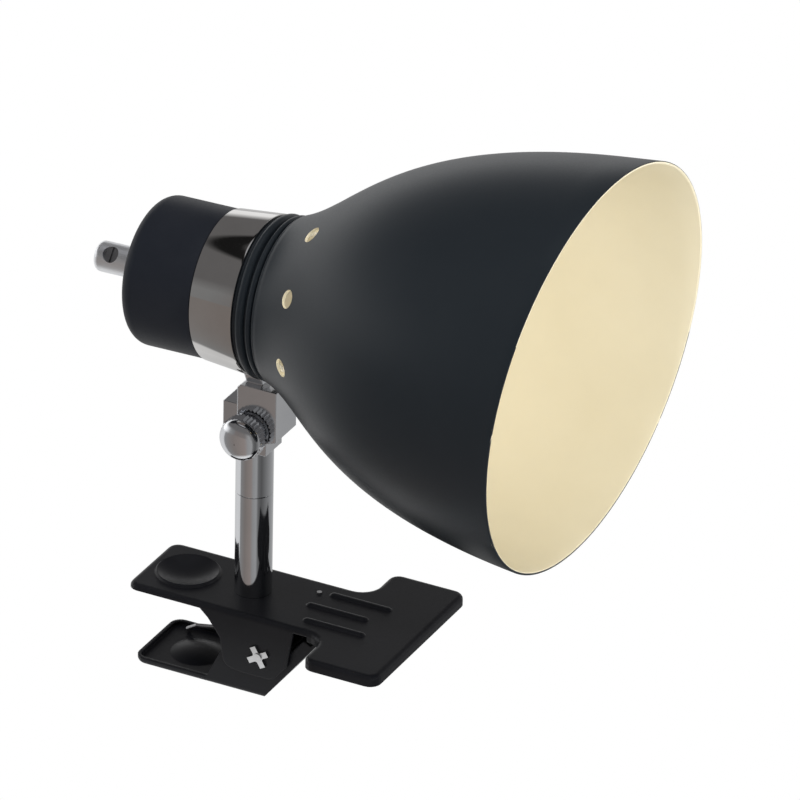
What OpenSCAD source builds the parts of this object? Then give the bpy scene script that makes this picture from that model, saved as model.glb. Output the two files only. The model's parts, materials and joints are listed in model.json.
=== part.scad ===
// Clip-on reading lamp: spring clip, swivel post, tilting joint and spun shade.
// Millimetres. +X runs from the post to the jaws and the shade's mouth, +Z is up.
// The origin is the middle of the grip: the centre of the upper pad's lower face.

/* [Clip] */

// Post axis to the middle of the grip
grip_x = 49; // [48:0.5:50]
// Sheet thickness of both jaws
sheet_t = 1.2; // [1:0.1:1.3]
// Outside radius of the pressed edges
edge_r = 1.7; // [1.6:0.1:2]
// Post axis to the rear of the upper handle
handle_back = 39.2; // [38:0.2:41]
// Width of the upper handle
handle_w = 33; // [32.6:0.1:34]
// Depth of the rim round the upper handle
handle_rim = 2; // [1.9:0.1:2.4]
// Post axis to the rear edge of the cross bar
bar_back = 35.6; // [35:0.2:37]
// Post axis to the front edge of the cross bar
bar_front = 63.2; // [62:0.2:65]
// Length of the cross bar
bar_w = 66.6; // [64:0.2:70]
// Depth of the rim round the cross bar
bar_rim = 3.8; // [3.4:0.1:3.9]
// Corner radius of the pressed outlines
corner_r = 4; // [3.5:0.1:5]
// Radius between handle and cross bar
crook_r = 6.7; // [6:0.1:8]
// Height of the clip from the lower handle to the top
clip_h = 30.9; // [30.4:0.1:31.4]
// Gap between the lower jaw's walls and the cheeks
jaw_gap = 0.4; // [0.3:0.05:0.5]
// Upper cross bar's front edge to the lower one's
lower_setback = 3.2; // [2.6:0.1:4]
// Post axis to the rear of the lower handle
lower_back = 37.2; // [36:0.2:38]
// Height of the lower handle's side walls
lower_rim = 2.6; // [2.2:0.1:3.4]
// Length of the lower jaw's cross bar
lower_bar_w = 60; // [56:0.5:61]

/* [Thumb rests and ribs] */

// Post axis back to the upper thumb rest
rest_back = 24.6; // [24:0.2:25.6]
// Crest radius of the upper thumb rest's rim
rest_crest_r = 9.7; // [9.2:0.1:10.6]
// Height of the upper thumb rest's rim
rest_rim_h = 1.3; // [1:0.1:1.4]
// Depth of the upper thumb rest's bowl
rest_bowl_d = 1.5; // [1.1:0.1:1.6]
// Post axis back to the lower thumb rest
dome_back = 20.6; // [20:0.2:21.6]
// Radius of the lower thumb rest
dome_r = 9.4; // [8.8:0.1:9.6]
// Height of the lower thumb rest inside the handle
dome_h = 1.6; // [1.2:0.1:2]
// Distance between the stiffening ribs
rib_pitch = 9.6; // [9:0.1:10]
// Width of a stiffening rib
rib_w = 3; // [2.6:0.1:3.4]
// Height of a stiffening rib
rib_h = 0.9; // [0.7:0.1:1.1]
// Length of the stiffening ribs
rib_l = 23; // [20:0.5:24]

/* [Hinge and spring] */

// Post axis to the hinge pin
pin_x = 11; // [10.6:0.1:11.4]
// Depth of the hinge pin below the clip's top
pin_drop = 14.4; // [14:0.1:14.8]
// Hinge pin radius
pin_r = 1.5; // [1.4:0.1:1.7]
// Push-on washer span
star_w = 8; // [7.4:0.1:8.4]
// Push-on washer arm width
star_arm = 2.1; // [1.8:0.1:2.4]
// Push-on washer thickness
star_t = 0.8; // [0.6:0.1:1]
// Spring wire diameter
wire_d = 1.6; // [1.4:0.1:1.8]
// Mean radius of the spring's coil
coil_r = 5; // [4.8:0.1:5.3]
// Turns in the spring's coil
coil_n = 11; // [9:1:11]
// Rubber pad thickness
pad_t = 1.6; // [1.4:0.1:1.6]
// Setback of the upper pad from the rear of the cross bar
pad_set_back = 2.8; // [2.4:0.1:3.4]
// Setback of the upper pad from the front of the cross bar
pad_set_front = 3.2; // [2.8:0.1:4]
// Setback of the upper pad from the sides of the cross bar
pad_set_side = 4.8; // [4.4:0.1:6]
// Gap between the two pads when closed
pad_gap = 0.1; // [0.1:0.05:0.3]

/* [Post and joint] */

// Post radius
post_r = 6.35; // [6:0.05:6.5]
// Height of the swivel seam above the clip
seam_z = 38.1; // [36:0.5:40]
// Height of the tilt pivot above the clip
pivot_z = 63.3; // [62.8:0.1:64.2]
// Tilt pivot in front of the post axis
pivot_x = 1.2; // [1:0.05:1.6]
// Size of the post's head along X
head_l = 16; // [15.4:0.1:16.4]
// Post axis to the rear of the post's head
head_rear = 9; // [8.6:0.1:9.4]
// Size of the post's head along Y
head_w = 11.3; // [11:0.1:11.3]
// Height of the top of the post's head
head_top = 72; // [71:0.1:73]
// Height of the bottom of the post's head
head_bottom = 55; // [54:0.2:56]
// Swivel bolt radius
bolt_r = 3; // [2.5:0.1:3.2]
// Pivot screw radius
screw_r = 2.5; // [2:0.1:2.6]
// Knob radius
knob_r = 7.4; // [7:0.1:7.6]
// Knob rim width
knob_rim = 3.8; // [3.4:0.1:4.2]
// Knob dome height
knob_dome = 4.2; // [3.8:0.1:4.6]
// Running clearance of the turning fits
run_gap = 0.05; // [0.03:0.01:0.08]

/* [Yoke and head] */

// Sheet thickness of the yoke
yoke_t = 1.2; // [1:0.1:1.3]
// Outer width of the yoke
yoke_w = 14.5; // [14.4:0.1:14.8]
// Front face of the yoke's web
web_x = 11.4; // [11.2:0.1:11.8]
// Height of the yoke's top
yoke_top = 80.4; // [79.8:0.1:80.8]
// Height of the level lampholder's axis above the clip
axis_z = 112; // [111.6:0.1:112.4]
// Degrees that the head's mouth points above level
nose_up = 1.2; // [0:0.1:2]
// Rear edge of the band, measured from the post axis
band_x = -10.6; // [-11:0.1:-10]
// Length of the band
band_l = 16.5; // [16:0.1:17]
// Radius of the band at its rear
band_r0 = 25.7; // [25.6:0.1:26]
// Radius of the band at its front
band_r1 = 27.2; // [27:0.1:27.6]
// Inside radius of the band
band_bore = 24.7; // [24.5:0.1:24.8]
// Length of the rear cap
cap_l = 27; // [25:0.5:30]
// Radius of the rear cap
cap_r = 25.3; // [25.2:0.1:25.5]
// Rounding at the rear of the cap
cap_round = 5; // [4:0.1:6]
// Cord inlet radius
gland_r = 5.2; // [5:0.05:5.4]
// Length of the cord inlet behind the cap
gland_l = 20.4; // [19:0.2:22]
// Radius of the cross hole through the cord inlet's wall
cross_r = 2.8; // [2.4:0.1:3]
// Radius of the cord hole
cord_r = 2.6; // [2.4:0.1:2.8]

/* [Shade] */

// Length of the shade from its seat to its mouth
shade_l = 108.5; // [104:0.5:112]
// Radius of the shade's mouth
mouth_r = 70; // [68:0.5:72]
// Degrees that the mouth's plane leans forward at its top
mouth_lean = 6.5; // [0:0.1:8]
// Degrees that the mouth's plane is turned to the right
mouth_turn = 2.8; // [0:0.1:4]
// Radius of the shade at its seat
seat_r = 28.2; // [28:0.1:28.6]
// Shade wall thickness
shade_t = 1; // [0.8:0.1:1.2]
// Number of vent holes
vent_n = 10; // [8:1:12]
// Vent hole radius
vent_r = 3.1; // [2.8:0.05:3.3]
// Shade seat to the ring of vent holes
vent_x = 16; // [15:0.5:19]
// Turn of the ring of vent holes
vent_turn = 24; // [0:1:36]

/* [Lampholder] */

// Lampholder body radius
holder_r = 19.5; // [19:0.1:19.8]
// Bore radius of the screw shell
shell_r = 13.2; // [13:0.05:13.4]
// Screw shell thickness
shell_t = 0.5; // [0.4:0.1:0.6]

/* [Hidden] */

$fn = 64;

steel_black = [0.10, 0.10, 0.11];
steel_dark = [0.13, 0.13, 0.14];
rubber_grey = [0.07, 0.07, 0.07];
bright = [0.82, 0.83, 0.85];
spring_steel = [0.55, 0.55, 0.57];
brass = [0.80, 0.66, 0.36];
resin = [0.90, 0.88, 0.82];
satin = [0.06, 0.065, 0.08];

eps = 0.01;
steps = 5;
edge_steps = 5;
grip_z = sheet_t + pad_t;
lower_plate_z = grip_z + pad_gap + pad_t - 0.4;
cheek_in = handle_w / 2 - sheet_t;
lower_hw = cheek_in - jaw_gap;
lower_w = 2 * lower_hw;
lower_front = bar_front - lower_setback;
pad_x0 = bar_back + pad_set_back;
pad_x1 = bar_front - pad_set_front;
pad_hw = bar_w / 2 - pad_set_side;
wire_r = wire_d / 2;
coil_pitch = wire_d + 0.05;
coil_y0 = -9;
pin_z = -pin_drop;
lower_z = -clip_h;
tray_x = -10;
run_step = 0.05;
ramp_x0 = 12;
ramp_x1 = 32;
bar_low = -lower_plate_z - sheet_t;
flange_in = yoke_w / 2 - yoke_t;
side_gap = 0.03;
nut_t = 4;
washer_t = flange_in - head_w / 2 - 2 * side_gap;
knob_y = yoke_w / 2 + 1.75;
seat_x = band_x + band_l + 7.5;
gland_x = band_x - cap_l;

// ---- outline helpers ----

function unit(v) = v / norm(v);

// Points of the arc of radius r that rounds corner b between a and c.
function arc(a, b, c, r) =
    let (
        u = unit(a - b),
        v = unit(c - b),
        half = acos(u * v) / 2,
        mid = b + unit(u + v) * r / sin(half),
        s = b + u * r / tan(half) - mid,
        e = b + v * r / tan(half) - mid,
        a0 = atan2(s[1], s[0]),
        turn = (atan2(e[1], e[0]) - a0 + 540) % 360 - 180
    )
    [for (i = [0:steps]) mid + r * [cos(a0 + turn * i / steps), sin(a0 + turn * i / steps)]];

// A closed outline with corner i rounded to radius r[i]; zero keeps it sharp.
function rounded(p, r) =
    [for (i = [0:len(p) - 1]) each r[i] == 0 ? [p[i]] :
        arc(p[(i + len(p) - 1) % len(p)], p[i], p[(i + 1) % len(p)], r[i])];

// Levels of a solid with a rounded top edge: [inset, height], from the bottom up.
function levels(depth, k) =
    concat([[k, -depth], [k, -edge_r]],
        [for (i = [1:edge_steps]) [k + (edge_r - k) * (1 - cos(i * 90 / edge_steps)),
            -edge_r + (edge_r - k) * sin(i * 90 / edge_steps)]]);

// Solid through rings of points that all have the same length.
module loft(rings) {
    n = len(rings[0]);
    m = len(rings);
    polyhedron(
        points = [for (r = rings) each r],
        faces = concat(
            [[for (i = [0:n - 1]) i]],
            [for (j = [0:m - 2], i = [0:n - 1])
                [j * n + i, (j + 1) * n + i, (j + 1) * n + (i + 1) % n]],
            [for (j = [0:m - 2], i = [0:n - 1])
                [j * n + i, (j + 1) * n + (i + 1) % n, j * n + (i + 1) % n]],
            [[for (i = [n:-1:1]) (m - 1) * n + i % n]]));
}

// Ring of the rounded rectangle from x0 to x1, half width h, inset by k, at height z.
function plate_ring(x0, x1, h, k, z) =
    [for (p = rounded([[x0 + k, k - h], [x1 - k, k - h], [x1 - k, h - k], [x0 + k, h - k]],
        [for (i = [0:3]) corner_r - k])) [p[0], p[1], z]];

// Ring of the inside corner's filler; only the curved side moves with the inset.
function crook_ring(k0, k, z) =
    let (x = bar_back + k0, h = handle_w / 2 - k0, e = edge_r - k0, c = crook_r + k)
    concat([[x + e, h - e, z], [x + e, h + crook_r + k0, z]],
        [for (i = [0:steps + 1])
            let (a = -i * 90 / (steps + 1))
            [x - crook_r - k0 + c * cos(a), h + crook_r + k0 + c * sin(a), z]],
        [[x - crook_r - k0, h - e, z]]);

// Solid T of the upper jaw down to z = -depth, inset by k, its top edge rounded.
module t_form(k, depth) {
    lv = levels(depth, k);
    loft([for (l = lv) plate_ring(-handle_back, bar_back + 2 * corner_r, handle_w / 2,
        l[0], l[1])]);
    loft([for (l = lv) plate_ring(bar_back, bar_front, bar_w / 2, l[0], l[1])]);
    for (m = [0, 1])
        mirror([0, m, 0])
            loft([for (l = lv) crook_ring(k, l[0], l[1])]);
}

// Side plate between y0 and y0 + t on both sides, drawn in X and Z.
module side_plates(y0, t) {
    for (m = [0, 1])
        mirror([0, m, 0])
            translate([0, y0 + t, 0])
                rotate([90, 0, 0])
                    linear_extrude(t)
                        children();
}

// Straight round bar between two points.
module bar(a, b, r) {
    d = b - a;
    translate(a)
        rotate([0, acos(d[2] / norm(d)), atan2(d[1], d[0])])
            cylinder(h = norm(d), r = r);
}

// Moves what is drawn at the origin to the lampholder's axis at x, tilted about the pivot.
module on_axis(x)
    translate([pivot_x, 0, pivot_z])
        rotate([0, -nose_up, 0])
            translate([x - pivot_x, 0, axis_z - pivot_z])
                children();

// Body turned about the lampholder's axis; x is along +X from the band's rear edge.
module turned() {
    on_axis(band_x)
        rotate([0, 90, 0])
            rotate_extrude()
                children();
}

// ---- clip ----

rest_arc = (pow(rest_crest_r - 1.5, 2) + pow(rest_bowl_d, 2)) / (2 * rest_bowl_d);
rib_arc = (pow(rib_w / 2, 2) + pow(rib_h, 2)) / (2 * rib_h);
dome_arc = (pow(dome_r, 2) + pow(dome_h, 2)) / (2 * dome_h);
rivet_pos = [20.4, 8.7];
rivet_r = 0.7;

module cheek_outline() {
    polygon(rounded([[-11.7, -edge_r], [-8.3, -4.8], [-3.6, -11.2], [-2.2, -21.4],
            [5.5, -22.2], [16.2, -22.2], [21.4, -16], [23.9, -edge_r]],
        [0, 4, 3, 4, 3, 4.5, 1.5, 0]));
}

module rib(y, x) {
    for (s = [0, 1])
        translate([x + rib_w / 2 + s * (rib_l - rib_w), y, rib_h - rib_arc])
            rotate([0, 90, 0])
                sphere(rib_arc);
    bar([x + rib_w / 2, y, rib_h - rib_arc], [x + rib_l - rib_w / 2, y, rib_h - rib_arc], rib_arc);
}

module upper_jaw() color(steel_black) {
    difference() {
        union() {
            difference() {
                t_form(0, bar_rim);
                t_form(sheet_t, clip_h);
                translate([-handle_back - 1, -handle_w, -handle_rim - bar_rim])
                    cube([handle_back + 1 + bar_back - crook_r, 2 * handle_w, bar_rim]);
            }
            side_plates(cheek_in, sheet_t)
                cheek_outline();
            intersection() {
                translate([-handle_back, -handle_w / 2, -sheet_t])
                    cube([handle_back + bar_front, handle_w, clip_h]);
                union() {
                    translate([-rest_back, 0, 0])
                        rotate_extrude()
                            translate([rest_crest_r, rest_rim_h - 1.5])
                                circle(1.5);
                    rib(0, 20.2);
                    rib(rib_pitch, 24);
                    rib(-rib_pitch, 24);
                }
            }
            intersection() {
                translate([-rest_back, 0, rest_arc - rest_bowl_d])
                    sphere(rest_arc + sheet_t);
                translate([-rest_back, 0, -sheet_t - rest_bowl_d - eps])
                    cylinder(h = sheet_t + rest_bowl_d, r = rest_crest_r);
            }
        }
        translate([-rest_back, 0, rest_arc - rest_bowl_d])
            sphere(rest_arc);
        translate([0, 0, -sheet_t - eps])
            cylinder(h = sheet_t + 2 * eps, r = bolt_r + run_gap);
        translate([pin_x, handle_w, pin_z])
            rotate([90, 0, 0])
                cylinder(h = 2 * handle_w, r = pin_r);
        translate([rivet_pos[0], rivet_pos[1], -sheet_t - eps])
            cylinder(h = sheet_t + 2 * eps, r = rivet_r);
    }
}

// Height of the ramp's underside at x.
function ramp_z(x) = lower_z + (x - ramp_x0) * (bar_low - lower_z) / (ramp_x1 - ramp_x0);

module lower_wall_outline() {
    z = lower_z + sheet_t / 2;
    polygon(rounded([[tray_x, z], [ramp_x0 - 1, z], [30.4, ramp_z(30.4) + sheet_t / 2],
            [27, -5], [20.6, -12.6], [16.5, -7.9], [5.5, -7.9], [-1.4, -11.4],
            [tray_x + 0.6, lower_z + lower_rim], [tray_x, lower_z + lower_rim]],
        [0, 1, 0, 0.8, 2.5, 3.5, 3.5, 2, 1.2, 0]));
}

module ramp_outline() {
    polygon(rounded([[tray_x, lower_z], [ramp_x0, lower_z], [ramp_x1, bar_low],
            [ramp_x1 + 6, bar_low], [ramp_x1 + 6, bar_low + sheet_t],
            [ramp_x1 - 0.57, bar_low + sheet_t], [ramp_x0 - 0.57, lower_z + sheet_t],
            [tray_x, lower_z + sheet_t]],
        [0, 2.4, 1.2, 0, 0, 2.4, 1.2, 0]));
}

// Rear tray of the lower handle, open at x = tray_x.
module rear_tray() {
    difference() {
        translate([0, 0, lower_z])
            mirror([0, 0, 1])
                loft([for (l = levels(lower_rim, 0))
                    plate_ring(-lower_back, ramp_x0, lower_hw, l[0], l[1])]);
        translate([0, 0, lower_z + sheet_t])
            linear_extrude(clip_h)
                polygon([for (p = plate_ring(-lower_back, ramp_x0, lower_hw, sheet_t, 0))
                    [p[0], p[1]]]);
        translate([tray_x, -lower_w, lower_z - 1])
            cube([clip_h, 2 * lower_w, clip_h]);
    }
}

module lower_jaw() color(steel_dark) {
    difference() {
        union() {
            rear_tray();
            intersection() {
                union() {
                    translate([0, lower_hw, 0])
                        rotate([90, 0, 0])
                            linear_extrude(lower_w)
                                ramp_outline();
                    side_plates(lower_hw - sheet_t - run_step, sheet_t)
                        lower_wall_outline();
                }
                rounded_run();
            }
            translate([0, 0, bar_low])
                linear_extrude(sheet_t)
                    polygon(rounded([[ramp_x1 + 3, -lower_bar_w / 2],
                            [lower_front, -lower_bar_w / 2], [lower_front, lower_bar_w / 2],
                            [ramp_x1 + 3, lower_bar_w / 2]],
                        [2, corner_r, corner_r, 2]));
            intersection() {
                translate([-dome_back, 0, lower_z + sheet_t + dome_h - dome_arc])
                    sphere(dome_arc);
                translate([-dome_back, 0, lower_z + sheet_t / 2])
                    cylinder(h = lower_rim, r = dome_r + 1);
            }
        }
        intersection() {
            translate([-dome_back, 0, lower_z + dome_h - dome_arc])
                sphere(dome_arc);
            translate([-dome_back, 0, lower_z - 1])
                cylinder(h = lower_rim, r = dome_r + 1);
        }
        translate([pin_x, handle_w, pin_z])
            rotate([90, 0, 0])
                cylinder(h = 2 * handle_w, r = pin_r + run_gap);
    }
}

// Envelope that gives the ramp its rounded long edges.
module rounded_run() {
    translate([tray_x, 0, 0])
        rotate([90, 0, 90])
            linear_extrude(ramp_x1 + 40)
                let (h = lower_hw - run_step)
                    polygon(rounded([[-h, lower_z], [h, lower_z], [h, 0], [-h, 0]],
                        [edge_r, edge_r, 0, 0]));
}

module upper_pad() color(rubber_grey)
    translate([0, 0, -grip_z])
        linear_extrude(pad_t)
            pad_outline(pad_x0, pad_x1, pad_hw);

module lower_pad() color(rubber_grey)
    translate([0, 0, bar_low + sheet_t])
        linear_extrude(-grip_z - pad_gap - bar_low - sheet_t)
            pad_outline(pad_x0, pad_x1 - pad_t, pad_hw - 1);

module pad_outline(x0, x1, hw) {
    polygon(rounded([[x0, -hw], [x1, -hw], [x1, hw], [x0, hw]], [2, 3, 3, 2]));
}

module hinge_pin() color(bright)
    translate([pin_x, handle_w / 2 + star_t + 0.5, pin_z])
        rotate([90, 0, 0])
            cylinder(h = handle_w + 2 * star_t + 1, r = pin_r);

module pin_washers() color(bright)
    side_plates(handle_w / 2, star_t)
        translate([pin_x, pin_z])
            difference() {
                union() {
                    circle(pin_r + 0.35);
                    for (a = [30, 120])
                        rotate(a)
                            square([star_w, star_arm], center = true);
                }
                circle(pin_r);
            }

// Angle of the coil point, seen along Y, whose tangent runs to p; side is 1 or -1.
function tangent_at(p, side) =
    let (d = p - [pin_x, pin_z]) atan2(d[1], d[0]) + side * acos(coil_r / norm(d));

// Point of the coil at angle a and position y.
function coil_point(a, y) = [pin_x + coil_r * cos(a), y, pin_z + coil_r * sin(a)];

// Round wire along a path that nowhere runs along Y.
module wire(path) {
    n = len(path);
    k = wire_sides;
    polyhedron(
        points = [for (i = [0:n - 1])
            let (t = unit(path[min(i + 1, n - 1)] - path[max(i - 1, 0)]),
                u = unit(cross(t, [0, 1, 0])), v = cross(t, u))
            each [for (j = [0:k - 1])
                path[i] + wire_r * (u * cos(j * 360 / k) + v * sin(j * 360 / k))]],
        faces = concat(
            [[for (j = [k - 1:-1:0]) j]],
            [for (i = [0:n - 2], j = [0:k - 1])
                [i * k + j, i * k + (j + 1) % k, (i + 1) * k + (j + 1) % k]],
            [for (i = [0:n - 2], j = [0:k - 1])
                [i * k + j, (i + 1) * k + (j + 1) % k, (i + 1) * k + j]],
            [[for (j = [0:k - 1]) (n - 1) * k + j]]));
}

wire_sides = 10;
turn_steps = 20;
upper_end = [-28, -sheet_t - wire_r];
lower_knee = [-27, lower_z + sheet_t + 2.2 + wire_r];
lower_end = [-30.5, lower_z + sheet_t + wire_r];
leg_y = coil_y0 + coil_pitch * coil_n + wire_d + 0.1;

module torsion_spring() color(spring_steel) {
    a = tangent_at(upper_end, -1);
    wire(concat([[upper_end[0], coil_y0, upper_end[1]]],
        [for (i = [0:turn_steps * coil_n])
            coil_point(a - i * 360 / turn_steps, coil_y0 + coil_pitch * i / turn_steps)]));
}

module spring_leg() color(spring_steel) {
    a = tangent_at(lower_knee, 1);
    wire(concat(
        [for (i = [turn_steps / 2:-1:0]) coil_point(a + i * 360 / turn_steps, leg_y)],
        [[lower_knee[0], leg_y, lower_knee[1]], [lower_end[0], leg_y, lower_end[1]]]));
}

module jaw_rivet() color(bright)
    translate([rivet_pos[0], rivet_pos[1], -sheet_t - 0.6]) {
        cylinder(h = sheet_t + 1, r = rivet_r);
        translate([0, 0, sheet_t + 0.6])
            cylinder(h = 0.5, r = rivet_r + 0.2);
        cylinder(h = 0.6, r = rivet_r + 0.5);
    }

// ---- post ----

disc_t = 1;
seat_t = 1.2;
bolt_head_h = 4;
thread_z = 9;
bolt_top = seam_z + thread_z;

module lower_post() color(bright)
    difference() {
        cylinder(h = seam_z - 0.1, r = post_r);
        translate([0, 0, -eps])
            cylinder(h = seam_z, r = bolt_r + run_gap);
    }

module bolt_washer() color(bright)
    translate([0, 0, -sheet_t - seat_t])
        ring(seat_t, 6, bolt_r + run_gap);

module disc_spring() color(spring_steel)
    translate([0, 0, -sheet_t - seat_t])
        rotate_extrude()
            polygon([[bolt_r + run_gap, -disc_t], [5.4, -0.5], [5.4, 0], [bolt_r + run_gap, -0.5]]);

module ring(h, ro, ri)
    difference() {
        cylinder(h = h, r = ro);
        translate([0, 0, -eps])
            cylinder(h = h + 2 * eps, r = ri);
    }

module swivel_bolt() color(bright) {
    head_z = -sheet_t - seat_t - disc_t - 0.05;
    translate([0, 0, head_z - bolt_head_h])
        intersection() {
            cylinder(h = bolt_head_h, r = 10 / sqrt(3), $fn = 6);
            cylinder(h = bolt_head_h, r1 = 4.9, r2 = 4.9 + bolt_head_h * 2);
        }
    translate([0, 0, head_z - eps])
        cylinder(h = bolt_top - head_z, r = bolt_r);
}

module upper_post() color(bright)
    difference() {
        union() {
            translate([0, 0, seam_z])
                cylinder(h = head_bottom - seam_z + eps, r = post_r);
            intersection() {
                translate([-head_rear, -head_w / 2, head_bottom])
                    cube([head_l, head_w, head_top - head_bottom]);
                translate([pivot_x, head_w, pivot_z])
                    rotate([90, 0, 0])
                        union() {
                            cylinder(h = 2 * head_w, r = web_x - yoke_t - pivot_x - 0.3);
                            translate([-head_l, -head_l, 0])
                                cube([head_l, 2 * head_l, 2 * head_w]);
                            translate([-head_l, -2 * head_l, 0])
                                cube([2 * head_l, 2 * head_l, 2 * head_w]);
                        }
            }
        }
        translate([0, 0, seam_z - eps])
            cylinder(h = thread_z + eps, r = bolt_r);
        translate([pivot_x, head_w, pivot_z])
            rotate([90, 0, 0])
                cylinder(h = 2 * head_w, r = screw_r + run_gap);
    }

// ---- tilt joint ----

teeth = 32;
screw_end = yoke_w / 2 + side_gap + nut_t + 0.92;

module thumb_screw() color(bright)
    translate([pivot_x, 0, pivot_z])
        rotate([90, 0, 0]) {
            translate([0, 0, -screw_end])
                cylinder(h = screw_end + knob_y, r = screw_r);
            translate([0, 0, yoke_w / 2 + side_gap])
                cylinder(h = knob_y - yoke_w / 2, r = 5.5);
            translate([0, 0, knob_y])
                linear_extrude(knob_rim)
                    polygon([for (i = [0:2 * teeth - 1])
                        (knob_r - 0.35 * (i % 2)) * [cos(i * 180 / teeth), sin(i * 180 / teeth)]]);
            intersection() {
                translate([0, 0, knob_y + knob_rim + knob_dome - knob_arc])
                    sphere(knob_arc);
                translate([0, 0, knob_y + knob_rim - eps])
                    cylinder(h = knob_dome + 2 * eps, r = knob_r - 0.4);
            }
        }

knob_arc = (pow(knob_r - 0.4, 2) + pow(knob_dome, 2)) / (2 * knob_dome);

module joint_nut() color(bright)
    translate([pivot_x, yoke_w / 2 + side_gap + nut_t, pivot_z])
        rotate([90, 0, 0])
            difference() {
                cylinder(h = nut_t, r = 8 / sqrt(3), $fn = 6);
                translate([0, 0, -eps])
                    cylinder(h = nut_t + 2 * eps, r = screw_r);
            }

module joint_washers() color(bright)
    side_plates(head_w / 2 + side_gap, washer_t)
        translate([pivot_x, pivot_z])
            difference() {
                circle(5.6);
                circle(screw_r + run_gap);
            }

module flange_outline() {
    difference() {
        union() {
            translate([pivot_x, pivot_z])
                circle(7);
            polygon([[pivot_x - 4.2, pivot_z], [pivot_x - 4.2, yoke_top - 1],
                [pivot_x - 3.2, yoke_top], [web_x, yoke_top], [web_x, 62], [pivot_x + 5, 60]]);
        }
        circle_at_pivot();
    }
}

module circle_at_pivot()
    translate([pivot_x, pivot_z])
        circle(screw_r + run_gap);

module yoke() color(bright) {
    side_plates(flange_in, yoke_t)
        flange_outline();
    translate([web_x - yoke_t, -yoke_w / 2, 62])
        cube([yoke_t, yoke_w, yoke_top - 62]);
    translate([pivot_x - 3.2, -yoke_w / 2, yoke_top - yoke_t])
        cube([web_x - pivot_x + 3.2, yoke_w, yoke_t]);
    difference() {
        translate([0, 4.2, 0])
            rotate([90, 0, 0])
                linear_extrude(8.4)
                    polygon([[-4, 88.6], [1.8, 88.6], [4.8, yoke_top - eps],
                        [-1.2, yoke_top - eps]]);
        on_axis(band_x)
            rotate([0, 90, 0])
                cylinder(h = band_l, r1 = band_r0, r2 = band_r1);
    }
}

// ---- head ----

spigot = 4;
cap_t = 1.6;
cap_wall = 2;
ring_x = band_l;

module head_band() color(bright)
    turned()
        polygon([[band_bore, 0], [band_r0 - 0.2, 0], [band_r0, 0.2], [band_r1, band_l - 0.2],
            [band_r1 - 0.2, band_l], [band_bore, band_l]]);

module rear_cap() color(satin)
    turned() {
        difference() {
            union() {
                translate([0, -cap_l])
                    square([cap_r - cap_round, cap_l]);
                translate([0, cap_round - cap_l])
                    square([cap_r, cap_l - cap_round]);
                translate([cap_r - cap_round, cap_round - cap_l])
                    circle(cap_round);
                translate([0, -eps])
                    square([band_bore, spigot + eps]);
            }
            translate([-1, cap_wall - cap_l])
                square([band_bore - cap_t - cap_round + 2, cap_l + spigot]);
            translate([0, cap_wall + cap_round - cap_l])
                square([band_bore - cap_t, cap_l + spigot]);
            translate([band_bore - cap_t - cap_round + 1, cap_wall + cap_round - cap_l])
                circle(cap_round - 1);
            translate([-gland_r, -cap_l - 1])
                square([2 * gland_r - 1, cap_wall + 2]);
        }
    }

cross_x = -cap_l - 14;
cross_turn = 48;
screw_h = 1.2;

module cross_hole(r, r0, h)
    on_axis(band_x + cross_x)
        rotate([cross_turn, 0, 0])
            translate([0, 0, r0])
                cylinder(h = h, r = r);

module cord_gland() color(bright)
    difference() {
        turned()
            difference() {
                union() {
                    translate([0, -cap_l - gland_l + 2])
                        square([gland_r, gland_l - 2]);
                    translate([0, -cap_l - gland_l])
                        square([gland_r - 2, 4]);
                    translate([gland_r - 2, -cap_l - gland_l + 2])
                        circle(2);
                    translate([0, -cap_l - eps])
                        square([gland_r - 1, cap_wall + 5]);
                }
                translate([-cord_r, -cap_l - gland_l - 1])
                    square([2 * cord_r, gland_l + cap_wall + 9]);
            }
        cross_hole(cross_r, 0, 2 * gland_r);
    }

module gland_screw() color(spring_steel)
    difference() {
        cross_hole(cross_r, cord_r + 0.1, screw_h);
        on_axis(band_x + cross_x)
            rotate([cross_turn, 0, 0])
                translate([-0.35, -cross_r - 1, cord_r + 0.1 + screw_h / 2])
                    cube([0.7, 2 * cross_r + 2, screw_h]);
    }

module gland_nut() color(bright)
    on_axis(gland_x + cap_wall)
        rotate([0, 90, 0])
            difference() {
                cylinder(h = 3, r = 12 / sqrt(3), $fn = 6);
                translate([0, 0, -eps])
                    cylinder(h = 3 + 2 * eps, r = gland_r - 1);
            }

// ---- lampholder ----

holder_back = -17;
holder_front = ring_x + 17;
shoulder_x = ring_x - spigot;
shell_len = 21.5;
well_r = 9;
well_d = 4.5;

module lampholder_body() color(resin)
    difference() {
        turned()
            difference() {
                union() {
                    translate([0, holder_back])
                        square([holder_r, holder_front - holder_back]);
                    translate([0, shoulder_x])
                        square([holder_r + 3, spigot]);
                }
                translate([-1, holder_front - shell_len - 1])
                    square([shell_r + shell_t + 1, shell_len + 2]);
                translate([-1, holder_front - shell_len - 1 - well_d])
                    square([well_r + 1, well_d + 1]);
                translate([-1, holder_back - 1])
                    square([holder_r - 3, 8]);
            }
        terminal_bores();
    }

module terminal_bores()
    for (y = [-8, 8])
        on_axis(band_x + holder_back + 4)
            translate([0, y, 0])
                rotate([0, 90, 0])
                    cylinder(h = 9, r = 1.75);

module screw_shell() color(brass)
    turned()
        difference() {
            translate([0, holder_front - shell_len - 1])
                square([shell_r + shell_t, shell_len]);
            translate([-1, holder_front - shell_len - 2])
                square([shell_r + 1, shell_len + 3]);
        }

module centre_contact() color(brass)
    on_axis(band_x + holder_front - shell_len - 1 - well_d)
        rotate([0, 90, 0]) {
            cylinder(h = 2.6, r = 3.6);
            translate([0, 0, 2])
                cylinder(h = 2, r = 2.4);
        }

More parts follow.
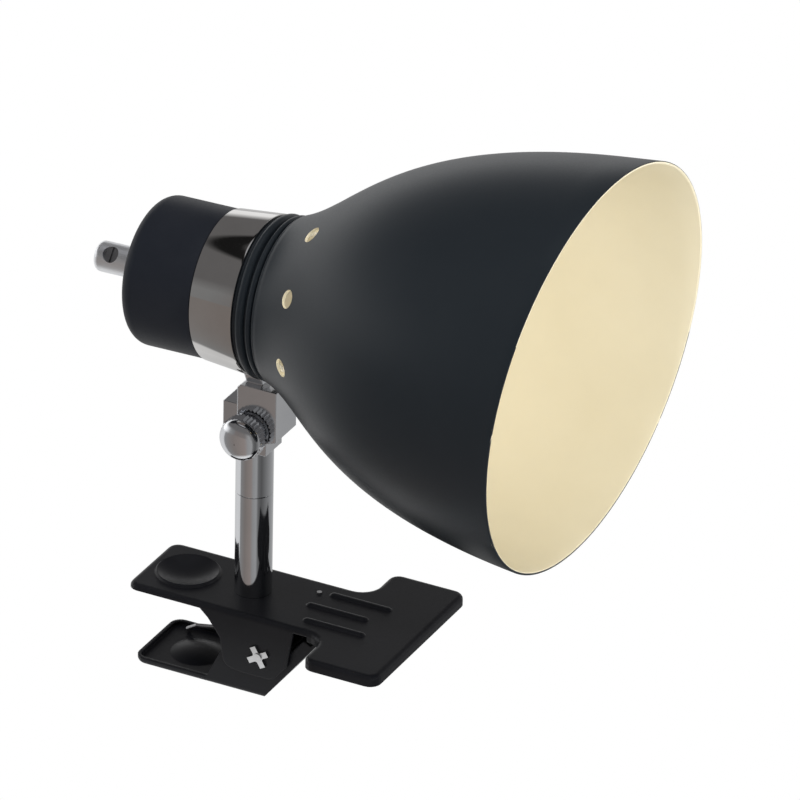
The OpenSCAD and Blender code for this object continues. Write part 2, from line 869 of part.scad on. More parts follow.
module terminal_screws() color(brass)
    for (y = [-8, 8])
        on_axis(band_x + holder_back + 4)
            translate([0, y, 0])
                rotate([0, 90, 0])
                    difference() {
                        union() {
                            cylinder(h = 9, r = 1.75);
                            cylinder(h = 3 - eps, r = 3);
                        }
                        translate([-0.4, -4, -1])
                            cube([0.8, 8, 2]);
                    }

module shade_ring() color(resin)
    turned()
        difference() {
            union() {
                translate([0, ring_x + 7.5 + shade_t])
                    square([holder_r + 4, 2]);
                translate([0, ring_x + 7.5 + shade_t])
                    square([holder_r + 2.2, 6]);
            }
            translate([-1, ring_x])
                square([holder_r + 1, 20]);
        }

module neck_ring() color(satin)
    turned()
        polygon([[holder_r, ring_x], [band_bore - 2, ring_x], [band_bore - 2, shoulder_x],
            [band_bore, shoulder_x], [band_bore, ring_x], [band_r1 - 0.6, ring_x],
            [band_r1 - 0.6, ring_x + 1], [band_r1 - 1.3, ring_x + 1.6], [band_r1, ring_x + 2.4],
            [band_r1, ring_x + 4], [band_r1 - 0.9, ring_x + 4.6], [band_r1 + 0.4, ring_x + 5.4],
            [band_r1 + 0.8, ring_x + 7.5], [holder_r, ring_x + 7.5]]);

// ---- shade ----

bow = [[0, seat_r], [21.8, seat_r + 7.4], [28.9, seat_r + 34.1], [shade_l, mouth_r]];

// Point of the shade's outer curve at t between 0 and 1.
function swell(t) = pow(1 - t, 3) * bow[0] + 3 * pow(1 - t, 2) * t * bow[1]
    + 3 * (1 - t) * t * t * bow[2] + t * t * t * bow[3];

// The same point moved inwards by the wall thickness.
function lining(t) =
    let (d = unit(swell(t + 0.001) - swell(t - 0.001)))
    swell(t) + shade_t * [d[1], -d[0]];

curve_n = 22;

mouth_mid = 110.9;
over_l = 14;
flare = unit(swell(1) - swell(0.99));
lip = bow[3] + flare * over_l;

module shade() color(satin)
    difference() {
        on_axis(seat_x)
            rotate([0, 90, 0])
                rotate_extrude()
                    polygon(concat(
                        [for (i = [0:curve_n]) let (p = swell(i / curve_n)) [p[1], p[0]]],
                        [[lip[1], lip[0]], [lip[1] - shade_t, lip[0]]],
                        [for (i = [curve_n:-1:1]) let (p = lining(i / curve_n)) [p[1], p[0]]],
                        [[seat_r - shade_t, shade_t], [holder_r, shade_t], [holder_r, 0]]));
        on_axis(seat_x + mouth_mid)
            rotate([0, mouth_lean, -mouth_turn])
                translate([0, -2 * mouth_r, -2 * mouth_r])
                    cube([4 * over_l, 4 * mouth_r, 4 * mouth_r]);
        for (i = [0:vent_n - 1])
            on_axis(seat_x + vent_x)
                rotate([vent_turn + i * 360 / vent_n, 0, 0])
                    translate([0, 0, 38])
                        rotate([0, -34, 0])
                            cylinder(h = 12, r = vent_r, center = true);
    }

// ---- assembly ----

module placed()
    translate([-grip_x, 0, grip_z])
        children();

placed() upper_jaw();
placed() lower_jaw();
placed() upper_pad();
placed() lower_pad();
placed() hinge_pin();
placed() pin_washers();
placed() torsion_spring();
placed() spring_leg();
placed() jaw_rivet();
placed() lower_post();
placed() bolt_washer();
placed() disc_spring();
placed() swivel_bolt();
placed() upper_post();
placed() thumb_screw();
placed() joint_nut();
placed() joint_washers();
placed() yoke();
placed() head_band();
placed() rear_cap();
placed() cord_gland();
placed() gland_screw();
placed() gland_nut();
placed() lampholder_body();
placed() screw_shell();
placed() centre_contact();
placed() terminal_screws();
placed() shade_ring();
placed() neck_ring();
placed() shade();
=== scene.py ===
"""Clip-on reading lamp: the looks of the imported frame.

Metres, +X towards the jaws and the shade's mouth, +Z up. Outlines of turned pieces are in mm.
"""
import json
import math

import bpy
from mathutils import Matrix, Vector


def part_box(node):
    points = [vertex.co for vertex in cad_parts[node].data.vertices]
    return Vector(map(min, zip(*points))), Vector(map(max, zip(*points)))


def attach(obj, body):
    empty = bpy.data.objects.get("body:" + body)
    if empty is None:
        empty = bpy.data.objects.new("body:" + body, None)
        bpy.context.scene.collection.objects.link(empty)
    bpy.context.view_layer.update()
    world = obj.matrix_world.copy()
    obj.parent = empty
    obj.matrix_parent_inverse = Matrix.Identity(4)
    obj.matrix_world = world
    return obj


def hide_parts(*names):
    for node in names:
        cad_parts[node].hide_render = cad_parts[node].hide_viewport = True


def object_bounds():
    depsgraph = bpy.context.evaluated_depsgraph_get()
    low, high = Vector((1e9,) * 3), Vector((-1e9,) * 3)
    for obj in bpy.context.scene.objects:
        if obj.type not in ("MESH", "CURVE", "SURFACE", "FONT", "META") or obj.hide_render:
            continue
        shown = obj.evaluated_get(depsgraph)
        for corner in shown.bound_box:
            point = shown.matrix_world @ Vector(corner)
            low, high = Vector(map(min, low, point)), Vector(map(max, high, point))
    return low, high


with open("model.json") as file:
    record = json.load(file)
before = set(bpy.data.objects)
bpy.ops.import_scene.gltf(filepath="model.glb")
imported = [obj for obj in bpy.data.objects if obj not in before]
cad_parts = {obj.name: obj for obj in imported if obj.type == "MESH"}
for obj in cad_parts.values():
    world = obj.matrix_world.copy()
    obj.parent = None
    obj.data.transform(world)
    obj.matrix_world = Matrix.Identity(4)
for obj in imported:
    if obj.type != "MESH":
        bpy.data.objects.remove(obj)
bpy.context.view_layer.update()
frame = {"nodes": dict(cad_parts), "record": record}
nodes = frame["nodes"]


# ---- materials ----

def mix_node(tree, blend="MIX"):
    """A colour mix: input 0 is the share, inputs 6 and 7 are the two colours."""
    n = tree.nodes.new("ShaderNodeMix")
    n.data_type = "RGBA"
    n.blend_type = blend
    return n


def noise(tree, coords, scale, detail=4, rough=0.55, stretch=None):
    """Cloudy noise in the object's own coordinates, drawn out where stretch is given."""
    src = coords
    if stretch:
        mp = tree.nodes.new("ShaderNodeMapping")
        mp.inputs["Scale"].default_value = stretch
        tree.links.new(coords, mp.inputs["Vector"])
        src = mp.outputs["Vector"]
    n = tree.nodes.new("ShaderNodeTexNoise")
    n.inputs["Scale"].default_value = scale
    n.inputs["Detail"].default_value = detail
    n.inputs["Roughness"].default_value = rough
    tree.links.new(src, n.inputs["Vector"])
    return n.outputs["Fac"]


def ramp(tree, fac, lo, hi, a, b):
    """Runs from a to b while fac goes from lo to hi."""
    m = tree.nodes.new("ShaderNodeMapRange")
    m.inputs["From Min"].default_value = lo
    m.inputs["From Max"].default_value = hi
    m.inputs["To Min"].default_value = a
    m.inputs["To Max"].default_value = b
    tree.links.new(fac, m.inputs["Value"])
    return m.outputs["Result"]


def tint(tree, fac, a, b):
    """Runs from colour a to colour b with fac."""
    m = mix_node(tree)
    m.inputs[6].default_value = (*a, 1)
    m.inputs[7].default_value = (*b, 1)
    tree.links.new(fac, m.inputs[0])
    return m.outputs[2]


def finish_of(name, dark, light, rough, metal=0.0, coarse=60, grain=900, bump=0.12,
              depth=0.00002, stretch=None, specular=0.5, soft_edge=0.0):
    """A surface whose colour varies in clouds, and its roughness and height in a finer grain."""
    m = bpy.data.materials.new(name)
    m.use_nodes = True
    t = m.node_tree
    b = t.nodes["Principled BSDF"]
    co = t.nodes.new("ShaderNodeTexCoord").outputs["Object"]
    cloud = noise(t, co, coarse, 5)
    wear = noise(t, co, grain, 2, 0.6, stretch)
    t.links.new(tint(t, ramp(t, cloud, 0.3, 0.7, 0, 1), dark, light), b.inputs["Base Color"])
    both = t.nodes.new("ShaderNodeMath")
    both.operation = "MULTIPLY_ADD"
    both.inputs[1].default_value = 0.5
    t.links.new(cloud, both.inputs[0])
    half = t.nodes.new("ShaderNodeMath")
    half.operation = "MULTIPLY"
    half.inputs[1].default_value = 0.5
    t.links.new(wear, half.inputs[0])
    t.links.new(half.outputs[0], both.inputs[2])
    t.links.new(ramp(t, both.outputs[0], 0.32, 0.68, rough[0], rough[1]), b.inputs["Roughness"])
    bp = t.nodes.new("ShaderNodeBump")
    bp.inputs["Strength"].default_value = bump
    bp.inputs["Distance"].default_value = depth
    t.links.new(wear, bp.inputs["Height"])
    if soft_edge:
        be = t.nodes.new("ShaderNodeBevel")
        be.samples = 6
        be.inputs["Radius"].default_value = soft_edge
        t.links.new(be.outputs["Normal"], bp.inputs["Normal"])
    t.links.new(bp.outputs["Normal"], b.inputs["Normal"])
    b.inputs["Metallic"].default_value = metal
    b.inputs["Specular IOR Level"].default_value = specular
    return m


chrome = dict(metal=1.0, coarse=45, grain=1800, bump=0.03, depth=0.00001)
FINISH = {
    "black_enamel": finish_of("black enamel", (0.0052, 0.0054, 0.0066), (0.0078, 0.0080, 0.0097),
                              (0.30, 0.42), coarse=30, grain=700, bump=0.10, depth=0.00003,
                              specular=0.2, soft_edge=0.0007),
    "black_enamel_inner": finish_of("black enamel, lower jaw", (0.0045, 0.0046, 0.006),
                                    (0.0065, 0.0067, 0.0085), (0.32, 0.46), coarse=30, grain=700,
                                    bump=0.10, depth=0.00003, specular=0.2,
                                    soft_edge=0.0007),
    "pad_rubber": finish_of("pad rubber", (0.018, 0.018, 0.018), (0.03, 0.03, 0.03), (0.7, 0.85),
                            grain=1200, bump=0.3, depth=0.00006, specular=0.3),
    "zinc": finish_of("bright zinc", (0.58, 0.59, 0.60), (0.70, 0.71, 0.72), (0.22, 0.38),
                      metal=1.0, coarse=120, grain=1500, bump=0.08, depth=0.00001),
    "spring_steel": finish_of("drawn spring wire", (0.30, 0.30, 0.31), (0.42, 0.42, 0.43),
                              (0.3, 0.45), metal=1.0, coarse=200, grain=900, bump=0.1,
                              depth=0.00002, stretch=(0.2, 1, 1)),
    "screw_steel": finish_of("grey screw", (0.24, 0.24, 0.25), (0.34, 0.34, 0.35),
                             (0.3, 0.45), metal=1.0, coarse=200, grain=900, bump=0.1,
                             depth=0.00002),
    "post_chrome": finish_of("post chrome", (0.60, 0.61, 0.63), (0.66, 0.67, 0.69),
                             (0.05, 0.10), **chrome, stretch=(1, 1, 0.08), soft_edge=0.0004),
    "knob_chrome": finish_of("knob chrome", (0.62, 0.63, 0.65), (0.70, 0.71, 0.73),
                             (0.08, 0.16), **chrome),
    "yoke_chrome": finish_of("yoke chrome", (0.60, 0.61, 0.63), (0.68, 0.69, 0.71),
                             (0.06, 0.14), **chrome, soft_edge=0.0006),
    "band_chrome": finish_of("band chrome", (0.55, 0.54, 0.53), (0.62, 0.61, 0.60),
                             (0.03, 0.07), **chrome, stretch=(0.3, 1, 1)),
    "gland_chrome": finish_of("inlet chrome", (0.84, 0.85, 0.87), (0.91, 0.92, 0.94),
                              (0.36, 0.50), **chrome),
    "cap_black": finish_of("matt black cap", (0.0095, 0.0112, 0.0155), (0.0135, 0.0150, 0.0195),
                           (0.42, 0.52), coarse=40, grain=1400, bump=0.16, depth=0.00003,
                           specular=0.12),
    "shade_black": finish_of("satin black shade", (0.0080, 0.0112, 0.0145),
                             (0.0105, 0.0138, 0.0172), (0.34, 0.42), coarse=14, grain=1500,
                             bump=0.10, depth=0.00002, specular=0.26),
    "cream": finish_of("cream enamel", (0.70, 0.63, 0.45), (0.76, 0.69, 0.51), (0.45, 0.6),
                       coarse=14, grain=1200, bump=0.08, depth=0.00003),
    "resin": finish_of("holder resin", (0.66, 0.63, 0.55), (0.74, 0.71, 0.64), (0.35, 0.5),
                       coarse=60, grain=1100, bump=0.12, depth=0.00003),
    "brass": finish_of("brass", (0.62, 0.46, 0.20), (0.72, 0.55, 0.27), (0.25, 0.4), metal=1.0,
                       coarse=90, grain=1200, bump=0.1, depth=0.00002),
}

# ---- the lamp's own places, from the frame ----

record = frame["record"]
mounts = {m["name"]: m for m in record["mounts"]}
socket = mounts["lamp_screw"]
lamp_axis = Vector(socket["axis"]).normalized()
lamp_up = Vector((0, 1, 0)).cross(-lamp_axis).normalized()
SOCKET_FRONT = 0.02175  # from the band's rear edge to the socket's mouth
band_rear = Vector(socket["pos_m"]) - lamp_axis * SOCKET_FRONT
body_of_node = {n: b for b, ns in record["behaviour"]["bodies"].items() for n in ns}
slot_of = {p["node"]: p["material_slot"] for p in record["subparts"]}


def head_point(s, r):
    """The point s mm in front of the band's rear edge and r mm above the lamp's axis."""
    return band_rear + lamp_axis * s / 1000 + lamp_up * r / 1000


# ---- modelling helpers ----

def only(o):
    """Selects the one object and makes it the active one."""
    bpy.ops.object.select_all(action="DESELECT")
    o.select_set(True)
    bpy.context.view_layer.objects.active = o


def edit(mode="VERT"):
    """Edit mode with points, edges or faces to be selected."""
    bpy.ops.object.mode_set(mode="EDIT")
    bpy.ops.mesh.select_mode(type=mode)


def edit_points():
    """Edit mode with only the points chosen before still selected."""
    mesh = bpy.context.object.data
    for e in mesh.edges:
        e.select = False
    for f in mesh.polygons:
        f.select = False
    edit()


def settle(o):
    """Puts the object's origin at the frame's origin, its place kept in the mesh."""
    only(o)
    bpy.ops.object.transform_apply(location=True, rotation=True, scale=True)


def spun(name, path, axis, centre, steps=128):
    """A closed outline drawn point by point and spun once round the axis."""
    bpy.ops.object.select_all(action="DESELECT")
    bpy.ops.mesh.primitive_plane_add(size=0.0002, location=path[0])
    o = bpy.context.object
    o.name = name
    settle(o)
    edit()
    bpy.ops.mesh.select_all(action="SELECT")
    bpy.ops.mesh.merge(type="CENTER")
    for a, b in zip(path, path[1:] + path[:1]):
        bpy.ops.mesh.extrude_region_move(TRANSFORM_OT_translate={"value": b - a})
    bpy.ops.mesh.select_all(action="SELECT")
    bpy.ops.mesh.remove_doubles(threshold=1e-6)
    bpy.ops.mesh.select_all(action="SELECT")
    bpy.ops.mesh.spin(steps=steps, angle=2 * math.pi, center=centre, axis=axis)
    bpy.ops.mesh.select_all(action="SELECT")
    bpy.ops.mesh.remove_doubles(threshold=1e-6)
    bpy.ops.mesh.normals_make_consistent(inside=False)
    bpy.ops.object.mode_set(mode="OBJECT")
    return o


def turned(name, outline, steps=128):
    """A piece turned about the lamp's axis from an outline of (s, r) in mm."""
    return spun(name, [head_point(s, r) for s, r in outline], lamp_axis, band_rear, steps)


def corner(cx, cy, r, a0, a1, n=5):
    """Points of a round corner of radius r about (cx, cy), from angle a0 to a1 in degrees."""
    return [(cx + r * math.cos(math.radians(a0 + (a1 - a0) * i / n)),
             cy + r * math.sin(math.radians(a0 + (a1 - a0) * i / n))) for i in range(n + 1)]


def smooth(o, angle=35):
    """Smooth shading, with the edges sharper than the angle kept sharp."""
    only(o)
    bpy.ops.object.shade_smooth_by_angle(angle=math.radians(angle))


def cut_with(o, cutter):
    """Takes the cutter's shape out of the object."""
    only(o)
    bpy.ops.object.modifier_add(type="BOOLEAN")
    m = o.modifiers[-1]
    m.operation = "DIFFERENCE"
    m.solver = "EXACT"
    m.object = cutter
    bpy.ops.object.modifier_apply(modifier=m.name)
    bpy.data.objects.remove(cutter, do_unlink=True)


def dressed(o, node, finish, angle=35):
    """Smooths a finished piece, gives it its material and lets it stand for a CAD node."""
    smooth(o, angle)
    if not o.data.materials:
        o.data.materials.append(FINISH[finish])
    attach(o, body_of_node[node])
    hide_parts(node)
    return o


for name, o in nodes.items():
    o.data.materials.clear()
    o.data.materials.append(FINISH["screw_steel" if name == "gland_screw" else slot_of[name]])

# ---- shade ----

BAND_L = 16.5
SEAT = BAND_L + 7.5
SEAT_R = 28.2
SHADE_L = 108.5
MOUTH_R = 70
WALL = 1.0
MOUTH_MID = SEAT + 110.9
MOUTH_LEAN = 6.5
MOUTH_TURN = -2.8
MOUTH_SPARE = 14
VENTS = 10
VENT_R = 0.0031
VENT_FIRST = 24
VENT_LEAN = 34
VENT_S = SEAT + 16
VENT_DRILL_R = 0.038
NECK_BORE = 19.6


def bell(t):
    """Outer curve of the shade, (s, r) in mm, for t from the seat at 0 to the mouth at 1."""
    knots = [(0, SEAT_R), (21.8, SEAT_R + 7.4), (28.9, SEAT_R + 34.1), (SHADE_L, MOUTH_R)]
    w = [(1 - t) ** 3, 3 * t * (1 - t) ** 2, 3 * t * t * (1 - t), t ** 3]
    return (SEAT + sum(k[0] * x for k, x in zip(knots, w)),
            sum(k[1] * x for k, x in zip(knots, w)))


def lining(t):
    """Inner curve of the shade, one wall inside the bell."""
    (s0, r0), (s1, r1) = bell(t - 0.001), bell(t + 0.001)
    d = math.hypot(s1 - s0, r1 - r0)
    s, r = bell(t)
    return s + WALL * (r1 - r0) / d, r - WALL * (s1 - s0) / d


def make_shade():
    """The spun shade: turned over long, cut off at its leaning mouth, rounded there and drilled."""
    n = 48
    (s0, r0), (s1, r1) = bell(0.99), bell(1)
    d = math.hypot(s1 - s0, r1 - r0)
    tip = (s1 + MOUTH_SPARE * (s1 - s0) / d, r1 + MOUTH_SPARE * (r1 - r0) / d)
    outer = [bell(i / n) for i in range(1, n + 1)]
    inner = [lining(i / n) for i in range(n, 0, -1)]
    outline = ([(SEAT, NECK_BORE)] + corner(SEAT + 0.9, SEAT_R - 0.9, 0.9, 180, 90, 4) + outer
               + [tip, (tip[0], tip[1] - WALL)] + inner
               + [(SEAT + WALL, SEAT_R - WALL - 0.4), (SEAT + WALL, NECK_BORE)])
    o = turned("spun_shade", outline, 160)
    lean = (Matrix.Rotation(math.radians(MOUTH_TURN), 3, lamp_up)
            @ Matrix.Rotation(math.radians(MOUTH_LEAN), 3, "Y"))
    plane_no = lean @ lamp_axis
    plane_co = band_rear + lamp_axis * MOUTH_MID / 1000
    only(o)
    edit("EDGE")
    bpy.ops.mesh.select_all(action="SELECT")
    bpy.ops.mesh.bisect(plane_co=plane_co, plane_no=plane_no, clear_outer=True)
    bpy.ops.mesh.select_all(action="DESELECT")
    bpy.ops.mesh.select_non_manifold(extend=False, use_wire=False, use_multi_face=False,
                                     use_non_contiguous=False, use_verts=False)
    bpy.ops.mesh.bridge_edge_loops()
    bpy.ops.mesh.select_mode(type="FACE")
    bpy.ops.mesh.region_to_loop()
    bpy.ops.mesh.bevel(offset=0.00028, segments=3, profile=0.5)
    bpy.ops.mesh.select_all(action="SELECT")
    bpy.ops.mesh.normals_make_consistent(inside=False)
    bpy.ops.object.mode_set(mode="OBJECT")
    o.data.materials.append(FINISH["shade_black"])
    o.data.materials.append(FINISH["cream"])
    for f in o.data.polygons:
        out = f.center - band_rear
        radial = out - lamp_axis * out.dot(lamp_axis)
        inside = f.normal.dot(radial.normalized()) < -0.02
        on_seat = f.normal.dot(lamp_axis) > 0.9 and radial.length < (SEAT_R - WALL / 2) / 1000
        f.material_index = 1 if inside or on_seat else 0
    cut_with(o, vent_cutter())
    return dressed(o, "shade", "shade_black", 30)


def vent_cutter():
    """All the vent drills as one object."""
    drills = []
    lean = math.radians(VENT_LEAN)
    for i in range(VENTS):
        turn = math.radians(VENT_FIRST + 360 * i / VENTS)
        away = Matrix.Rotation(turn, 3, lamp_axis) @ lamp_up
        place = head_point(VENT_S, 0) + away * VENT_DRILL_R
        aim = away * math.cos(lean) - lamp_axis * math.sin(lean)
        bpy.ops.object.select_all(action="DESELECT")
        bpy.ops.mesh.primitive_cylinder_add(vertices=40, radius=VENT_R, depth=0.012,
                                            location=place,
                                            rotation=aim.to_track_quat("Z", "Y").to_euler())
        drills.append(bpy.context.object)
        settle(drills[-1])
    bpy.ops.object.select_all(action="DESELECT")
    for d in drills:
        d.select_set(True)
    bpy.context.view_layer.objects.active = drills[0]
    bpy.ops.object.join()
    for finish in ("shade_black", "cream"):
        drills[0].data.materials.append(FINISH[finish])
    for f in drills[0].data.polygons:
        f.material_index = 1
    return drills[0]


make_shade()

# ---- cap, band, neck ring and cord inlet ----

CAP_L = 27
CAP_R = 25.3
CAP_ROUND = 5
CORD_HOLE = 3.8
SPIGOT_WALL = 1.6
BORE = 24.7


def make_cap():
    """The drawn cap, with its round rear edge, its hole for the inlet and its spigot."""
    inside = BORE - SPIGOT_WALL
    outline = ([(0, CAP_R - 0.3), (-0.3, CAP_R)]
               + corner(CAP_ROUND - CAP_L, CAP_R - CAP_ROUND, CAP_ROUND, 90, 180, 12)
               + [(-CAP_L, CORD_HOLE), (-CAP_L + 2, CORD_HOLE), (-CAP_L + 2, CAP_R - 6)]
               + corner(-CAP_L + 6, inside - 4, 4, 180, 90, 8)
               + [(4, inside), (4, BORE), (0, BORE)])
    return dressed(turned("drawn_cap", outline, 144), "rear_cap", "cap_black")


def make_band():
    """The bright band, a shallow cone that widens towards the shade."""
    outline = [(0.12, BORE + 0.05), (0.12, 25.6), (0.2, 25.69),
               (BAND_L - 0.9, 27.12), (BAND_L - 0.3, 27.1), (BAND_L - 0.1, 26.8),
               (BAND_L - 0.1, BORE + 0.05)]
    return dressed(turned("rolled_band", outline, 144), "head_band", "band_chrome", 40)


def make_neck():
    """The black ring nut: one full rib between two grooves, and a thin collar at the shade."""
    outline = ([(BAND_L, 22.8), (BAND_L, 26.4), (BAND_L + 0.9, 26.2), (BAND_L + 1.1, 26.8)]
               + corner(BAND_L + 2.6, 26.3, 1.5, 160, 20, 8)
               + [(BAND_L + 4.3, 26.3), (BAND_L + 4.9, 26.3)]
               + corner(BAND_L + 6.1, 27.0, 1.0, 165, 30, 6)
               + [(BAND_L + 7.2, 26.9), (BAND_L + 7.45, 26.9), (BAND_L + 7.45, NECK_BORE),
                  (BAND_L, NECK_BORE)])
    return dressed(turned("ring_nut", outline, 144), "neck_ring", "shade_black", 50)


make_cap()
make_band()
make_neck()

# ---- knob ----

KNOB_R = 7.4
KNOB_RIM = 3.8
KNOB_DOME = 4.2
TEETH = 32
KNOB_GAP = 1.75
KNURL_FOOT = 0.91
tilt_joint = next(j for j in record["behaviour"]["joints"] if j["name"] == "head_tilt")
pivot = Vector(tilt_joint["pos_m"])
knob_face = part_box("yoke")[0].y * 1000
knob_y = knob_face - KNOB_GAP


def at_knob(y, r):
    """The point at y mm along Y and r mm above the pivot's axis."""
    return Vector((pivot.x, y / 1000, pivot.z + r / 1000))


def make_knob():
    """The thumb screw's head: a turned body with a dome, and the knurl round its rim."""
    front = knob_y - KNOB_RIM
    dome = [(front - 0.3 - (KNOB_DOME - 0.3) * math.sin(math.radians(a)),
             (KNOB_R - 0.1) * math.cos(math.radians(a))) for a in range(0, 88, 6)]
    body = ([(knob_face - 0.04, 0.4), (knob_face - 0.04, 5.3), (knob_face - 0.2, 5.5),
             (knob_y + 0.5, 5.5), (knob_y + 0.5, 6.2), (knob_y + 0.1, 6.6), (front + 0.3, 6.6),
             (front + 0.2, KNOB_R - 0.3), (front, KNOB_R - 0.1)]
            + dome + [(front - KNOB_DOME, 0.2)])
    o = spun("knob_body", [at_knob(y, r) for y, r in body], Vector((0, 1, 0)), pivot, 96)
    dressed(o, "thumb_screw", "knob_chrome", 40)
    bpy.ops.object.select_all(action="DESELECT")
    depth = (KNOB_RIM - 0.7) / 1000
    bpy.ops.mesh.primitive_cylinder_add(
        vertices=2 * TEETH, radius=KNOB_R / 1000, depth=depth,
        location=(pivot.x, (knob_y - KNOB_RIM / 2 + 0.1) / 1000, pivot.z),
        rotation=(math.pi / 2, 0, 0))
    k = bpy.context.object
    k.name = "knob_knurl"
    settle(k)
    for v in k.data.vertices:
        a = math.atan2(v.co.z - pivot.z, v.co.x - pivot.x)
        v.select = round(a * TEETH / math.pi) % 2 == 0
    edit_points()
    bpy.ops.transform.resize(value=(KNURL_FOOT, 1, KNURL_FOOT),
                             center_override=(pivot.x, 0, pivot.z))
    bpy.ops.mesh.select_all(action="DESELECT")
    bpy.ops.object.mode_set(mode="OBJECT")
    for f in k.data.polygons:
        f.select = abs(f.normal.y) > 0.9
    edit("FACE")
    bpy.ops.mesh.inset(thickness=0.0003, depth=0.0002)
    bpy.ops.object.mode_set(mode="OBJECT")
    return dressed(k, "thumb_screw", "knob_chrome", 20)


make_knob()

# ---- camera ----

cam_data = bpy.data.cameras.new("camera")
cam = bpy.data.objects.new("camera", cam_data)
bpy.context.scene.collection.objects.link(cam)
bpy.context.scene.camera = cam
cam_data.sensor_width = 36
cam_data.lens = 405
cam_data.clip_start = 0.1
cam_data.clip_end = 50
CAMERA_TURN = -63.327
CAMERA_RISE = 28.256
CAMERA_ROLL = 1.216
CAMERA_AWAY = 2.94044
look_at = Vector((0.00431, 0, 0.0886))
aim = (Matrix.Rotation(math.radians(90 + CAMERA_TURN), 4, "Z")
       @ Matrix.Rotation(math.radians(90 - CAMERA_RISE), 4, "X")
       @ Matrix.Rotation(math.radians(CAMERA_ROLL), 4, "Z"))
cam.matrix_world = Matrix.Translation(look_at) @ aim @ Matrix.Translation((0, 0, CAMERA_AWAY))

# ---- stage and light ----

lo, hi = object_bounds()
FLOOR_GAP = 0.0005
bpy.ops.object.select_all(action="DESELECT")
bpy.ops.mesh.primitive_plane_add(size=30, location=(0, 0, lo.z - FLOOR_GAP))
floor = bpy.context.object
floor.name = "floor"


def math_node(t, op, a, b):
    """One sum of two numbers or sockets."""
    n = t.nodes.new("ShaderNodeMath")
    n.operation = op
    for i, v in enumerate((a, b)):
        if isinstance(v, (int, float)):
            n.inputs[i].default_value = v
        else:
            t.links.new(v, n.inputs[i])
    return n.outputs[0]


def studio_glow(t, vector, stops):
    """Grey of the studio round the lamp, by compass angle, for reflections only."""
    sep = t.nodes.new("ShaderNodeSeparateXYZ")
    t.links.new(vector, sep.inputs[0])
    turn = math_node(t, "ARCTAN2", sep.outputs["Y"], sep.outputs["X"])
    share = math_node(t, "ADD", math_node(t, "DIVIDE", turn, 2 * math.pi), 0.5)
    cr = t.nodes.new("ShaderNodeValToRGB")
    el = cr.color_ramp.elements
    while len(el) > 1:
        el.remove(el[-1])
    for i, (deg, grey) in enumerate(stops):
        e = el[0] if i == 0 else el.new(0.5)
        e.position = (deg + 180) / 360
        e.color = (*(grey if isinstance(grey, tuple) else (grey,) * 3), 1)
    t.links.new(share, cr.inputs["Fac"])
    return cr.outputs["Color"], sep.outputs["Z"]


def see_through_white(t, seen, hidden, reflected):
    """White to the camera and through glass, one shader to reflections, another to the rest."""
    path = t.nodes.new("ShaderNodeLightPath")
    white = math_node(t, "MAXIMUM", path.outputs["Is Camera Ray"],
                      path.outputs["Is Transmission Ray"])
    a = t.nodes.new("ShaderNodeMixShader")
    t.links.new(path.outputs["Is Glossy Ray"], a.inputs[0])
    t.links.new(hidden, a.inputs[1])
    t.links.new(reflected, a.inputs[2])
    b = t.nodes.new("ShaderNodeMixShader")
    t.links.new(white, b.inputs[0])
    t.links.new(a.outputs[0], b.inputs[1])
    t.links.new(seen, b.inputs[2])
    return b.outputs[0]


# Greys by compass angle: on the floor round the post, and in the room round the lamp.
FLOOR_STOPS = [(-180, 0.85), (-156, 0.85), (-150, 0.30), (-118, (0.26, 0.23, 0.215)),
               (-100, (0.30, 0.26, 0.24)), (-82, (0.34, 0.29, 0.27)), (-70, 0.36), (-50, 0.42),
               (-40, 0.18), (-20, 0.12), (12, 0.16), (24, 0.80), (90, 0.98), (140, 0.95),
               (180, 0.85)]
SKY_STOPS = [(-180, 1.7), (-155, 1.2), (-135, 0.34), (-122, 0.26), (-112, (0.23, 0.20, 0.19)),
             (-80, (0.24, 0.22, 0.21)), (-60, 0.42), (-40, 0.20), (0, 0.08), (60, 0.12),
             (130, 0.22), (158, 1.2), (180, 1.7)]
NEAR_GLOW = 0.95
NEAR_R = 0.042
FAR_R = 0.062


def floor_finish():
    """White to the camera, plain under the lamp's shadow, and lit by zones in reflections."""
    m = bpy.data.materials.new("floor")
    m.use_nodes = True
    t = m.node_tree
    t.nodes.clear()
    out = t.nodes.new("ShaderNodeOutputMaterial")
    seen = t.nodes.new("ShaderNodeEmission")
    plain = t.nodes.new("ShaderNodeBsdfDiffuse")
    plain.inputs["Color"].default_value = (0.8, 0.8, 0.8, 1)
    glow = t.nodes.new("ShaderNodeEmission")
    co = t.nodes.new("ShaderNodeTexCoord").outputs["Object"]
    away = t.nodes.new("ShaderNodeVectorMath")
    away.operation = "SUBTRACT"
    t.links.new(co, away.inputs[0])
    away.inputs[1].default_value = post_foot
    grey, _ = studio_glow(t, away.outputs["Vector"], FLOOR_STOPS)
    far = t.nodes.new("ShaderNodeVectorMath")
    far.operation = "LENGTH"
    t.links.new(away.outputs["Vector"], far.inputs[0])
    near = mix_node(t)
    t.links.new(ramp(t, far.outputs["Value"], NEAR_R, FAR_R, 0, 1), near.inputs[0])
    near.inputs[6].default_value = (NEAR_GLOW,) * 3 + (1,)
    t.links.new(grey, near.inputs[7])
    t.links.new(near.outputs[2], glow.inputs["Color"])
    t.links.new(see_through_white(t, seen.outputs[0], plain.outputs[0], glow.outputs[0]),
                out.inputs["Surface"])
    return m


post_lo, post_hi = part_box("lower_post")
post_foot = ((post_lo + post_hi) / 2).xy.to_3d()
floor.data.materials.append(floor_finish())

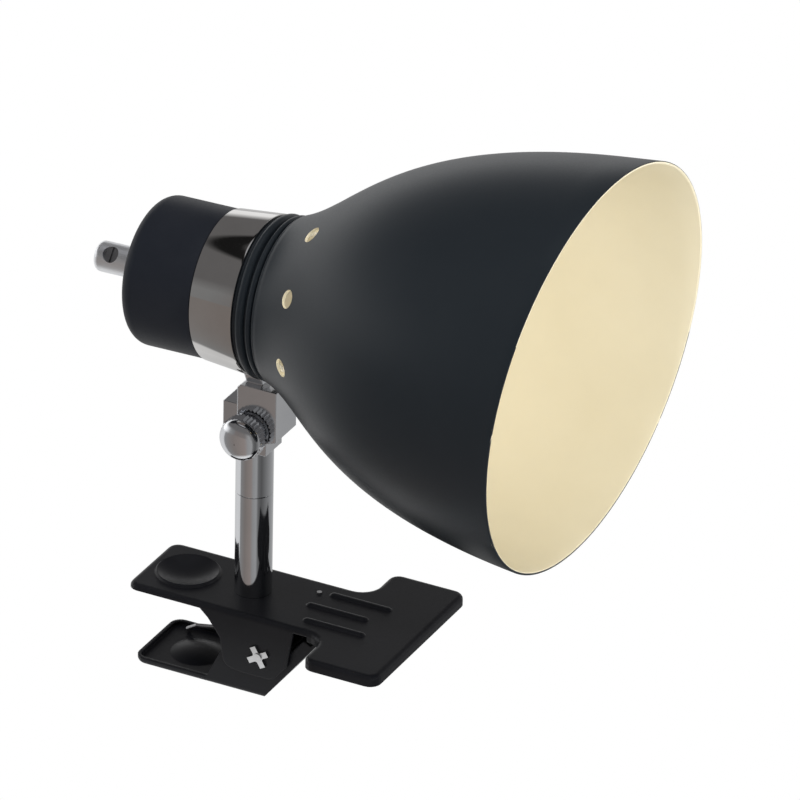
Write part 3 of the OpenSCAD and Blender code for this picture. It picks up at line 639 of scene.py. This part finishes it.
world = bpy.data.worlds.new("studio")
bpy.context.scene.world = world
world.use_nodes = True
wt = world.node_tree
wt.nodes.clear()
wout = wt.nodes.new("ShaderNodeOutputWorld")
seen = wt.nodes.new("ShaderNodeBackground")
seen.inputs["Color"].default_value = (1, 1, 1, 1)
sky = wt.nodes.new("ShaderNodeBackground")
sky.inputs["Color"].default_value = (0.9, 0.93, 1, 1)
sky.inputs["Strength"].default_value = 0.35
cards = wt.nodes.new("ShaderNodeBackground")
way = wt.nodes.new("ShaderNodeTexCoord").outputs["Generated"]
grey, height = studio_glow(wt, way, SKY_STOPS)
above = mix_node(wt)
wt.links.new(ramp(wt, height, 0.22, 0.42, 0, 1), above.inputs[0])
wt.links.new(grey, above.inputs[6])
above.inputs[7].default_value = (0.17, 0.165, 0.165, 1)
grey = above.outputs[2]
streak = math_node(wt, "SUBTRACT", ramp(wt, height, 0.80, 0.825, 1, 0.08),
                   ramp(wt, height, 0.865, 0.885, 0, -0.92))
streaked = mix_node(wt, blend="MULTIPLY")
streaked.inputs[0].default_value = 1
wt.links.new(grey, streaked.inputs[6])
wt.links.new(streak, streaked.inputs[7])
grey = streaked.outputs[2]
zenith = mix_node(wt)
wt.links.new(ramp(wt, height, 0.875, 0.895, 0, 1), zenith.inputs[0])
wt.links.new(grey, zenith.inputs[6])
zenith.inputs[7].default_value = (0.50, 0.50, 0.52, 1)
wt.links.new(zenith.outputs[2], cards.inputs["Color"])
wt.links.new(see_through_white(wt, seen.outputs[0], sky.outputs[0], cards.outputs[0]),
             wout.inputs["Surface"])


def lamp(name, place, target, size, power):
    """A square lamp aimed at the target and not seen in reflections."""
    d = bpy.data.lights.new(name, "AREA")
    d.shape = "RECTANGLE"
    d.size = size
    d.size_y = size
    d.energy = power
    o = bpy.data.objects.new(name, d)
    o.location = place
    o.rotation_mode = "QUATERNION"
    o.rotation_quaternion = (Vector(target) - Vector(place)).to_track_quat("-Z", "Y")
    o.visible_glossy = False
    bpy.context.scene.collection.objects.link(o)


mid = (lo + hi) / 2
lamp("key", (-1.2, -0.6, 1.3), mid, 1.2, 15)
lamp("top", (0.2, 0.1, 1.8), mid, 1.4, 12)
lamp("front", (1.7, -0.75, 0.55), mid, 1.6, 44)

bpy.context.scene.view_settings.view_transform = "Standard"
